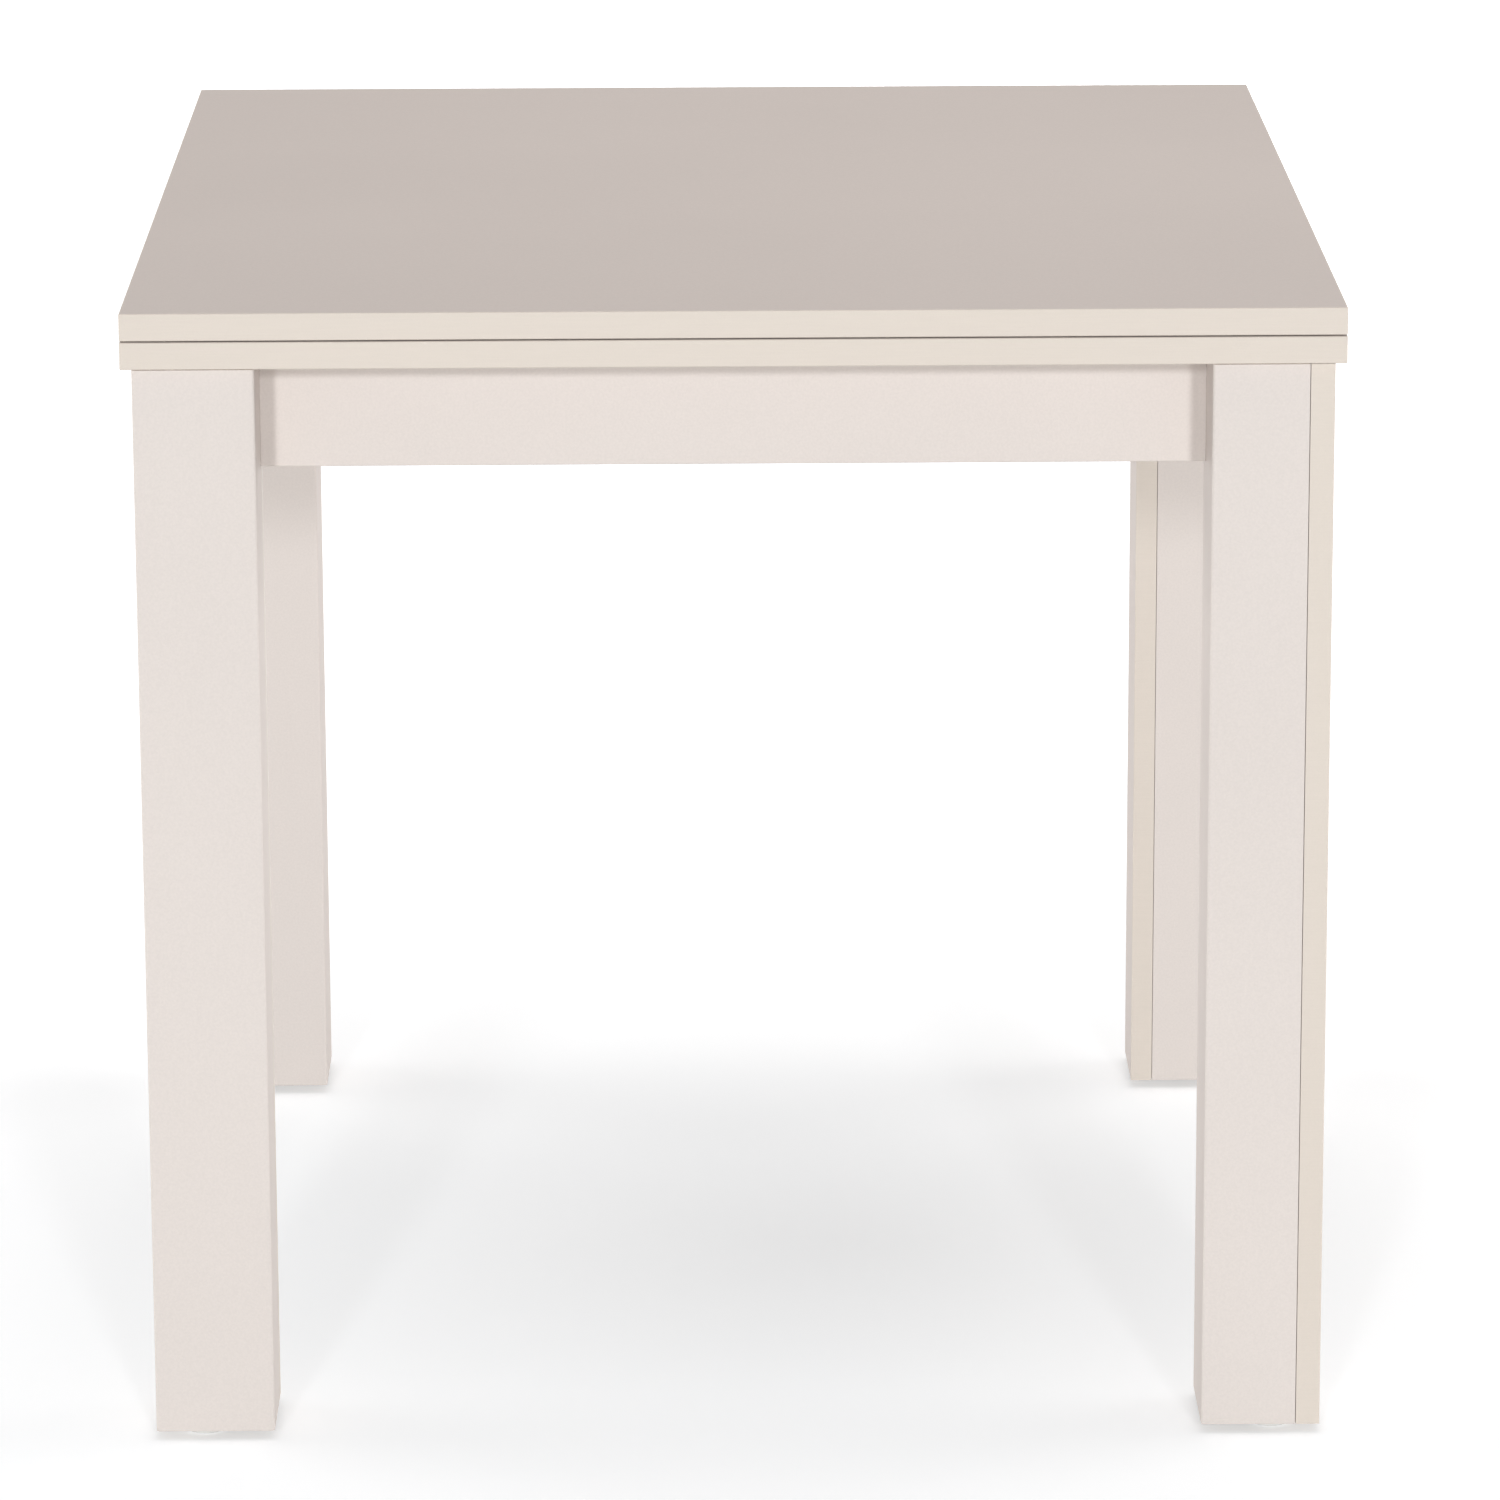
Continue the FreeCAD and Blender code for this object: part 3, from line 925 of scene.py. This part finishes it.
@dataclass
class Rails:
    """The aprons, with the corner plates that tie them to the legs."""

    screw: CrossHeadScrew = CrossHeadScrew()
    screw_from_end: float = 8.0 * MM
    screw_from_rim: float = 12.0 * MM
    plate_thick: float = 2.0 * MM
    plate_rounding: float = 0.4 * MM
    nut_rounding: float = 0.7 * MM
    bolt: ThreadedRod = ThreadedRod(radius=4.0 * MM, length=88.2 * MM, threaded=40.0 * MM)
    bolt_in_leg: float = 45.0 * MM
    rounding: float = 0.3 * MM

    @staticmethod
    def corner(leg: str) -> tuple[Vector, Vector, Vector]:
        """Finds a leg's inner corner from its corner plate.

        Args:
            leg: The leg's name.

        Returns:
            The corner halfway up the plate, the signs of the way to the table's middle, and the plate's
            size.
        """
        low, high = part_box(f"{leg}_corner_plate")
        inward = Vector((-math.copysign(1, low.x), -math.copysign(1, low.y), 0))
        place = Vector((
            low.x if inward.x > 0 else high.x,
            low.y if inward.y > 0 else high.y,
            (low.z + high.z) / 2,
        ))
        return place, inward, high - low

    def bolt_places(self) -> Iterator[Matrix]:
        """Places a hanger bolt from inside each leg towards the table's middle.

        Yields:
            The place of each bolt.
        """
        for leg in LEG_NAMES:
            place, inward, _ = self.corner(leg)
            direction = inward.normalized()
            yield aimed(place - direction * self.bolt_in_leg, direction)

    def screw_places(self) -> Iterator[Matrix]:
        """Places two screws through each wing of each corner plate, into the apron behind it.

        Yields:
            The place of each screw.
        """
        for leg in LEG_NAMES:
            corner, inward, size = self.corner(leg)
            reach = size.x - self.screw_from_end
            rise = size.z / 2 - self.screw_from_rim
            for z in (corner.z - rise, corner.z + rise):
                for along, out in ((0, 1), (1, 0)):
                    place = corner.copy()
                    place[along] += inward[along] * reach
                    place[out] += inward[out] * self.plate_thick
                    place.z = z
                    direction = Vector((0, 0, 0))
                    direction[out] = inward[out]
                    yield aimed(place, direction)

    def dress(self, finishes: Finishes) -> None:
        """Gives the aprons and plates their finish, and adds the bolts and the screws.

        Args:
            finishes: The table's finishes.
        """
        for apron in APRON_NAMES:
            coat(apron, finishes.board)
            soften(apron, self.rounding)
        for leg in LEG_NAMES:
            coat(f"{leg}_corner_plate", finishes.zinc)
            soften(f"{leg}_corner_plate", self.plate_rounding)
        bolt_shapes = copied(self.bolt.model(), self.bolt_places())
        bolts = add_piece("threaded_bolts", bolt_shapes, finishes.zinc, Body.FRAME, Slot.ZINC)
        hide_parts("hanger_bolts")
        coat("hanger_nuts", finishes.zinc)
        soften("hanger_nuts", self.nut_rounding)
        screws = copied(self.screw.model(), self.screw_places())
        add_piece("corner_plate_screws", screws, finishes.zinc, Body.FRAME, Slot.ZINC)


@dataclass
class PivotFrame:
    """The board that carries the pivot, its cleats, bush, stop and slide pads."""

    screw: CrossHeadScrew = CrossHeadScrew(radius=4.2 * MM, height=0.9 * MM)
    screw_inset: float = 22.0 * MM
    cleat_rounding: float = 0.8 * MM
    stop_rounding: float = 0.4 * MM

    def screw_places(self) -> Iterator[Matrix]:
        """Places screws down through the board into each cleat, and through each cleat into its apron.

        Yields:
            The place of each screw.
        """
        board_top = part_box("pivot_board")[1].z
        for cleat, inward in (("front_cleat", Vector((0, 1, 0))), ("rear_cleat", Vector((0, -1, 0)))):
            low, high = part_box(cleat)
            inner_y = high.y if inward.y > 0 else low.y
            for x in (low.x + self.screw_inset, high.x - self.screw_inset):
                yield aimed(Vector((x, (low.y + high.y) / 2, board_top)), UP)
                yield aimed(Vector((x, inner_y, (low.z + high.z) / 2)), inward)

    def pad_places(self) -> Iterator[Matrix]:
        """Places a pad along X on each leg and on the front and rear aprons, and along Y on the others.

        Yields:
            The place of each pad.
        """
        base_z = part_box("slide_pads")[0].z
        seats = [(f"{leg}_leg_shell", f"{leg}_leg_cover") for leg in LEG_NAMES]
        seats += [(apron,) for apron in APRON_NAMES]
        for seat in seats:
            boxes = [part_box(node) for node in seat]
            low_x, low_y = (min(low[axis] for low, _ in boxes) for axis in (0, 1))
            high_x, high_y = (max(high[axis] for _, high in boxes) for axis in (0, 1))
            turn = math.pi / 2 if seat[0] in ("left_apron", "right_apron") else 0.0
            place = Vector(((low_x + high_x) / 2, (low_y + high_y) / 2, base_z))
            yield Matrix.Translation(place) @ Matrix.Rotation(turn, 4, "Z")

    def dress(self, finishes: Finishes) -> None:
        """Gives the pieces their finish, and adds the slide pads and the screws.

        Args:
            finishes: The table's finishes.
        """
        coat("pivot_board", finishes.pivot_board)
        for cleat in ("front_cleat", "rear_cleat"):
            coat(cleat, finishes.cleat_wood)
            soften(cleat, self.cleat_rounding)
        coat("pivot_bush", finishes.nylon)
        coat("stop_screw", finishes.zinc)
        soften("stop_screw", self.stop_rounding)
        low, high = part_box("slide_pads")
        pad_shapes = copied(FeltStrip(high.z - low.z).model(), self.pad_places())
        pads = add_piece("felt_slide_pads", pad_shapes, finishes.felt, Body.FRAME, Slot.FELT)
        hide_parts("slide_pads")
        screws = copied(self.screw.model(), self.screw_places())
        add_piece("pivot_board_screws", screws, finishes.zinc, Body.FRAME, Slot.ZINC)


@dataclass
class Swivel:
    """The plate that the top turns on, with its stud, washer and locknut."""

    screw: CrossHeadScrew = CrossHeadScrew(radius=4.0 * MM, height=0.8 * MM)
    screw_ring: float = 52.0 * MM
    screw_count: int = 6
    first_angle: float = math.radians(15)
    plate_rounding: float = 0.5 * MM
    nut_rounding: float = 1.0 * MM
    # The ring's profile, in millimetres out from the stud's axis and up from the nut's lower face.
    ring: tuple[Span, ...] = ((8.2, 0.1), (10.8, 0.1), (10.3, -0.9), (9.0, -1.2), (8.2, -0.7))
    ring_steps: int = 48

    def screw_places(self) -> Iterator[Matrix]:
        """Places screws in a ring, up through the plate into the lower leaf.

        Yields:
            The place of each screw.
        """
        low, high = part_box("swivel_plate")
        middle = (low + high) / 2
        face_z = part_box("lower_leaf_board")[0].z
        for index in range(self.screw_count):
            angle = self.first_angle + 2 * math.pi * index / self.screw_count
            offset = Vector((math.cos(angle), math.sin(angle), 0)) * self.screw_ring
            yield aimed(Vector((middle.x, middle.y, face_z)) + offset, DOWN)

    def locking_ring(self) -> bmesh.types.BMesh:
        """Models the nylon ring that locks the nut, where the stud comes out of it.

        Returns:
            The ring, turned from its profile.
        """
        low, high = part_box("pivot_locknut")
        middle = Vector(((low.x + high.x) / 2, (low.y + high.y) / 2, low.z))
        bm = bmesh.new()
        bmesh.ops.create_circle(bm, cap_ends=False, segments=len(self.ring), radius=self.ring[0][0] * MM)
        for vert, (out, rise) in zip(bm.verts, self.ring):
            vert.co = middle + Vector((out, 0.0, rise)) * MM
        bmesh.ops.spin(
            bm, geom=[*bm.verts, *bm.edges], cent=middle, axis=UP, angle=2 * math.pi, steps=self.ring_steps,
            use_merge=True,
        )
        return bm

    def dress(self, finishes: Finishes) -> None:
        """Gives the pieces their finish, and adds the screws and the nut's ring.

        Args:
            finishes: The table's finishes.
        """
        for node, rounding in (
            ("swivel_plate", self.plate_rounding),
            ("pivot_washer", self.plate_rounding),
            ("pivot_locknut", self.nut_rounding),
        ):
            coat(node, finishes.zinc)
            soften(node, rounding)
        screws = copied(self.screw.model(), self.screw_places())
        add_piece("swivel_plate_screws", screws, finishes.zinc, Body.LOWER_LEAF, Slot.ZINC)
        add_piece("locking_ring", self.locking_ring(), finishes.nylon, Body.LOWER_LEAF, Slot.NYLON)


@dataclass
class Leaves:
    """The two leaves with their edge bands, hinges and bumpers."""

    screw: CrossHeadScrew = CrossHeadScrew(
        radius=2.6 * MM, height=0.3 * MM, arm=1.3 * MM, slot=0.35 * MM, depth=0.2 * MM, crown_steps=2,
    )
    screw_from_edge: float = 7.0 * MM
    screw_pitch: float = 20.0 * MM
    hinge_rounding: float = 0.2 * MM

    def screw_places(self, side: Side) -> Iterator[Matrix]:
        """Places three screws in each hinge plate of one leaf.

        Args:
            side: The leaf.

        Yields:
            The place of each screw.
        """
        leaf_low, leaf_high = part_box(f"{side.value}_leaf_board")
        direction = UP if side is Side.LOWER else DOWN
        face_z = leaf_high.z if side is Side.LOWER else leaf_low.z
        for name in HINGE_NAMES:
            low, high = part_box(f"{name}_hinge_{side.value}_plate")
            x = high.x - self.screw_from_edge
            middle_y = (low.y + high.y) / 2
            for step in (-1, 0, 1):
                yield aimed(Vector((x, middle_y + step * self.screw_pitch, face_z)), direction)

    @staticmethod
    def bumper_dots() -> bmesh.types.BMesh:
        """Models the dots along the lower leaf's right edge: one at each end and one in the middle.

        Returns:
            All the dots.
        """
        low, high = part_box("leaf_bumpers")
        radius = (high.x - low.x) / 2
        places = [
            Matrix.Translation((low.x + radius, y, low.z))
            for y in (low.y + radius, (low.y + high.y) / 2, high.y - radius)
        ]
        return copied(BumperDot(radius, high.z - low.z).model(), places)

    def dress(self, finishes: Finishes) -> None:
        """Gives the pieces their finish, and adds the hinge screws and the bumper dots.

        Args:
            finishes: The table's finishes.
        """
        for side, body in ((Side.LOWER, Body.LOWER_LEAF), (Side.UPPER, Body.UPPER_LEAF)):
            coat(f"{side.value}_leaf_board", finishes.board)
            coat(f"{side.value}_leaf_edging", finishes.band)
            for name in HINGE_NAMES:
                plate = f"{name}_hinge_{side.value}_plate"
                coat(plate, finishes.nickel)
                soften(plate, self.hinge_rounding)
            screws = copied(self.screw.model(), self.screw_places(side))
            add_piece(f"{side.value}_hinge_screws", screws, finishes.nickel, body, Slot.NICKEL)
        coat("hinge_pins", finishes.nickel)
        dots = add_piece("bumper_dots", self.bumper_dots(), finishes.bumper, Body.LOWER_LEAF, Slot.BUMPER)
        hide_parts("leaf_bumpers")


@dataclass(frozen=True)
class Lamp:
    """One studio lamp, whose light is round or wider than it is high."""

    name: str
    place: Xyz
    aim: Xyz
    width: float
    power: float
    color: Rgb = (1.0, 1.0, 1.0)
    flatness: float = 1.0
    mirrored: bool = True

    def light(self) -> None:
        """Hangs the lamp, out of the camera's sight."""
        data = bpy.data.lights.new(self.name, "AREA")
        data.shape = "ELLIPSE"
        data.size = self.width
        data.size_y = self.width * self.flatness
        data.energy = self.power
        data.color = self.color
        lamp = bpy.data.objects.new(self.name, data)
        lamp.location = self.place
        way = Vector(self.aim) - Vector(self.place)
        lamp.rotation_euler = way.to_track_quat("-Z", "Y").to_euler()
        lamp.visible_camera = False
        lamp.visible_glossy = self.mirrored
        bpy.context.scene.collection.objects.link(lamp)


@dataclass
class Studio:
    """A pale floor, soft lamps and a camera."""

    floor_half: float = 14.0
    floor_color: Rgb = (0.80, 0.80, 0.80)
    floor_roughness: float = 0.9
    glow_color: Rgb = (0.948, 0.976, 1.0)
    # The floor's glow paints shade under the table: it is lowest about this middle and full at its reach
    # from it.
    painted_shade_middle: Xyz = (0.09, -0.02, 0.0)
    glow_reach: float = 2.6
    # The glow's strength at shares of its reach from its middle; the low strengths near the middle are
    # painted shade under the table.
    glow_and_painted_shade_stops: tuple[Span, ...] = (
        (0.0, 0.29), (0.1, 0.395), (0.2, 0.475), (0.32, 0.48), (0.46, 0.67), (1.0, 0.97),
    )
    room_light: float = 0.3
    lens: float = 181.8
    camera_reach: float = 100.0
    camera_place: Xyz = (-0.0354, -5.292, 1.7132)
    camera_heading: float = math.radians(-0.532)
    camera_tilt: float = math.radians(14.283)
    camera_roll: float = math.radians(-0.216)
    lamps: tuple[Lamp, ...] = (
        Lamp("left_key", (-2.34, -13.0, 4.12), (0.0, -0.3, 0.55), 0.93, 331.0, (0.955, 0.975, 1.0)),
        Lamp("right_key", (2.34, -13.0, 4.12), (0.0, -0.3, 0.55), 0.93, 331.0, (0.955, 0.975, 1.0)),
        Lamp("left_low", (-2.6, -13.0, 0.4), (0.0, 0.0, 0.3), 1.0, 274.0, (0.98, 1.0, 0.985)),
        Lamp("right_low", (2.6, -13.0, 0.4), (0.0, 0.0, 0.3), 1.0, 274.0, (0.98, 1.0, 0.985)),
        Lamp("overhead", (0.35, 0.25, 3.2), (0.35, 0.25, 0.0), 2.7, 26.0, (1.0, 0.92, 0.87)),
        Lamp("left_side", (-5.6, 1.3, 0.8), (0.0, 0.0, 0.5), 4.4, 166.0, flatness=0.34, mirrored=False),
        Lamp("right_side", (5.6, 1.3, 0.8), (0.0, 0.0, 0.5), 4.4, 174.0, flatness=0.34, mirrored=False),
        Lamp("behind", (0.8, 6.5, 0.55), (0.0, 0.0, 0.45), 1.0, 75.0, mirrored=False),
    )

    @staticmethod
    def seen(tree: bpy.types.NodeTree) -> Socket:
        """1 for rays that the camera, a mirror or glass sends, and 0 for those that carry light.

        Args:
            tree: The node tree of the floor or the room.

        Returns:
            The value.
        """
        path = tree.nodes.new("ShaderNodeLightPath")
        total = path.outputs["Is Camera Ray"]
        for name in ("Is Glossy Ray", "Is Transmission Ray"):
            node = tree.nodes.new("ShaderNodeMath")
            node.operation = "MAXIMUM"
            tree.links.new(total, node.inputs[0])
            tree.links.new(path.outputs[name], node.inputs[1])
            total = node.outputs[0]
        return total

    @staticmethod
    def open_from_below(tree: bpy.types.NodeTree, surface: bpy.types.Node) -> None:
        """Lets a view from under the floor look through it.

        Args:
            tree: The floor's node tree.
            surface: The shader of its upper side.
        """
        side = tree.nodes.new("ShaderNodeNewGeometry")
        clear = tree.nodes.new("ShaderNodeBsdfTransparent")
        choice = tree.nodes.new("ShaderNodeMixShader")
        tree.links.new(side.outputs["Backfacing"], choice.inputs[0])
        tree.links.new(surface.outputs[0], choice.inputs[1])
        tree.links.new(clear.outputs[0], choice.inputs[2])
        tree.links.new(choice.outputs[0], tree.nodes["Material Output"].inputs["Surface"])

    def glow(self, tree: bpy.types.NodeTree) -> Socket:
        """The floor's own glow, which shows to the eye only: it is lowest about its middle under the table,
        as painted shade, and grows away from it.

        Args:
            tree: The floor's node tree.

        Returns:
            The glow's strength.
        """
        place = tree.nodes.new("ShaderNodeTexCoord")
        distance = tree.nodes.new("ShaderNodeVectorMath")
        distance.operation = "DISTANCE"
        distance.inputs[1].default_value = self.painted_shade_middle
        tree.links.new(place.outputs["Object"], distance.inputs[0])
        share = tree.nodes.new("ShaderNodeMapRange")
        share.inputs["From Max"].default_value = self.glow_reach
        tree.links.new(distance.outputs["Value"], share.inputs["Value"])
        rise = tree.nodes.new("ShaderNodeValToRGB")
        rise.color_ramp.interpolation = "B_SPLINE"
        for _ in self.glow_and_painted_shade_stops[2:]:
            rise.color_ramp.elements.new(0.5)
        for element, (position, strength) in zip(rise.color_ramp.elements, self.glow_and_painted_shade_stops):
            element.position = position
            element.color = (strength, strength, strength, 1.0)
        tree.links.new(share.outputs["Result"], rise.inputs["Fac"])
        glow = tree.nodes.new("ShaderNodeMath")
        glow.operation = "MULTIPLY"
        tree.links.new(rise.outputs["Color"], glow.inputs[0])
        tree.links.new(self.seen(tree), glow.inputs[1])
        return glow.outputs[0]

    def paper(self) -> bpy.types.Material:
        """Makes the floor's matt paper, which shows white where no shadow falls, apart from the painted
        shade that its glow leaves under the table.

        Returns:
            The material.
        """
        material = bpy.data.materials.new("floor_paper")
        material.use_nodes = True
        tree = material.node_tree
        surface = tree.nodes["Principled BSDF"]
        surface.inputs["Base Color"].default_value = (*self.floor_color, 1.0)
        surface.inputs["Roughness"].default_value = self.floor_roughness
        surface.inputs["Specular IOR Level"].default_value = 0.0
        surface.inputs["Emission Color"].default_value = (*self.glow_color, 1.0)
        tree.links.new(self.glow(tree), surface.inputs["Emission Strength"])
        self.open_from_below(tree, surface)
        return material

    def lay_floor(self) -> None:
        """Lays the floor."""
        bm = bmesh.new()
        bmesh.ops.create_grid(bm, x_segments=1, y_segments=1, size=self.floor_half)
        mesh = bpy.data.meshes.new("floor")
        bm.to_mesh(mesh)
        bm.free()
        mesh.materials.append(self.paper())
        floor = bpy.data.objects.new("floor", mesh)
        bpy.context.scene.collection.objects.link(floor)
        floor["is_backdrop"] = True

    def light_room(self) -> None:
        """Fills the room with even light; the room itself shows white."""
        world = bpy.data.worlds.new("room")
        world.use_nodes = True
        tree = world.node_tree
        background = tree.nodes["Background"]
        background.inputs["Color"].default_value = (1.0, 1.0, 1.0, 1.0)
        strength = tree.nodes.new("ShaderNodeMapRange")
        strength.inputs["To Min"].default_value = self.room_light
        strength.inputs["To Max"].default_value = 1.0
        tree.links.new(self.seen(tree), strength.inputs["Value"])
        tree.links.new(strength.outputs["Result"], background.inputs["Strength"])
        bpy.context.scene.world = world
        for lamp in self.lamps:
            lamp.light()

    def set_camera(self) -> None:
        """Sets the camera at the height and distance of a standing viewer, with a long lens."""
        data = bpy.data.cameras.new("camera")
        data.lens = self.lens
        data.clip_end = self.camera_reach
        camera = bpy.data.objects.new("camera", data)
        turn = Matrix.Rotation(self.camera_heading, 4, "Z")
        tilt = Matrix.Rotation(math.pi / 2 - self.camera_tilt, 4, "X")
        roll = Matrix.Rotation(self.camera_roll, 4, "Z")
        camera.matrix_world = Matrix.Translation(self.camera_place) @ turn @ tilt @ roll
        scene = bpy.context.scene
        scene.collection.objects.link(camera)
        scene.camera = camera
        scene.view_settings.view_transform = "Standard"

    def build(self) -> None:
        """Builds the studio."""
        self.lay_floor()
        self.light_room()
        self.set_camera()
        LOG.info("studio: %d lamps", len(self.lamps))


def write_sizes() -> None:
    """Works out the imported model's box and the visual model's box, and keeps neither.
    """
    boxes = {"cad": CAD_BOX, "visual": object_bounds()}
    {name: [list(corner) for corner in box] for name, box in boxes.items()}


def main() -> None:
    """Dresses the table and builds the studio."""
    finishes = Finishes.make()
    for group in (Legs(), Rails(), PivotFrame(), Swivel(), Leaves()):
        group.dress(finishes)
    Studio().build()
    write_sizes()


if __name__ == "__main__":
    main()
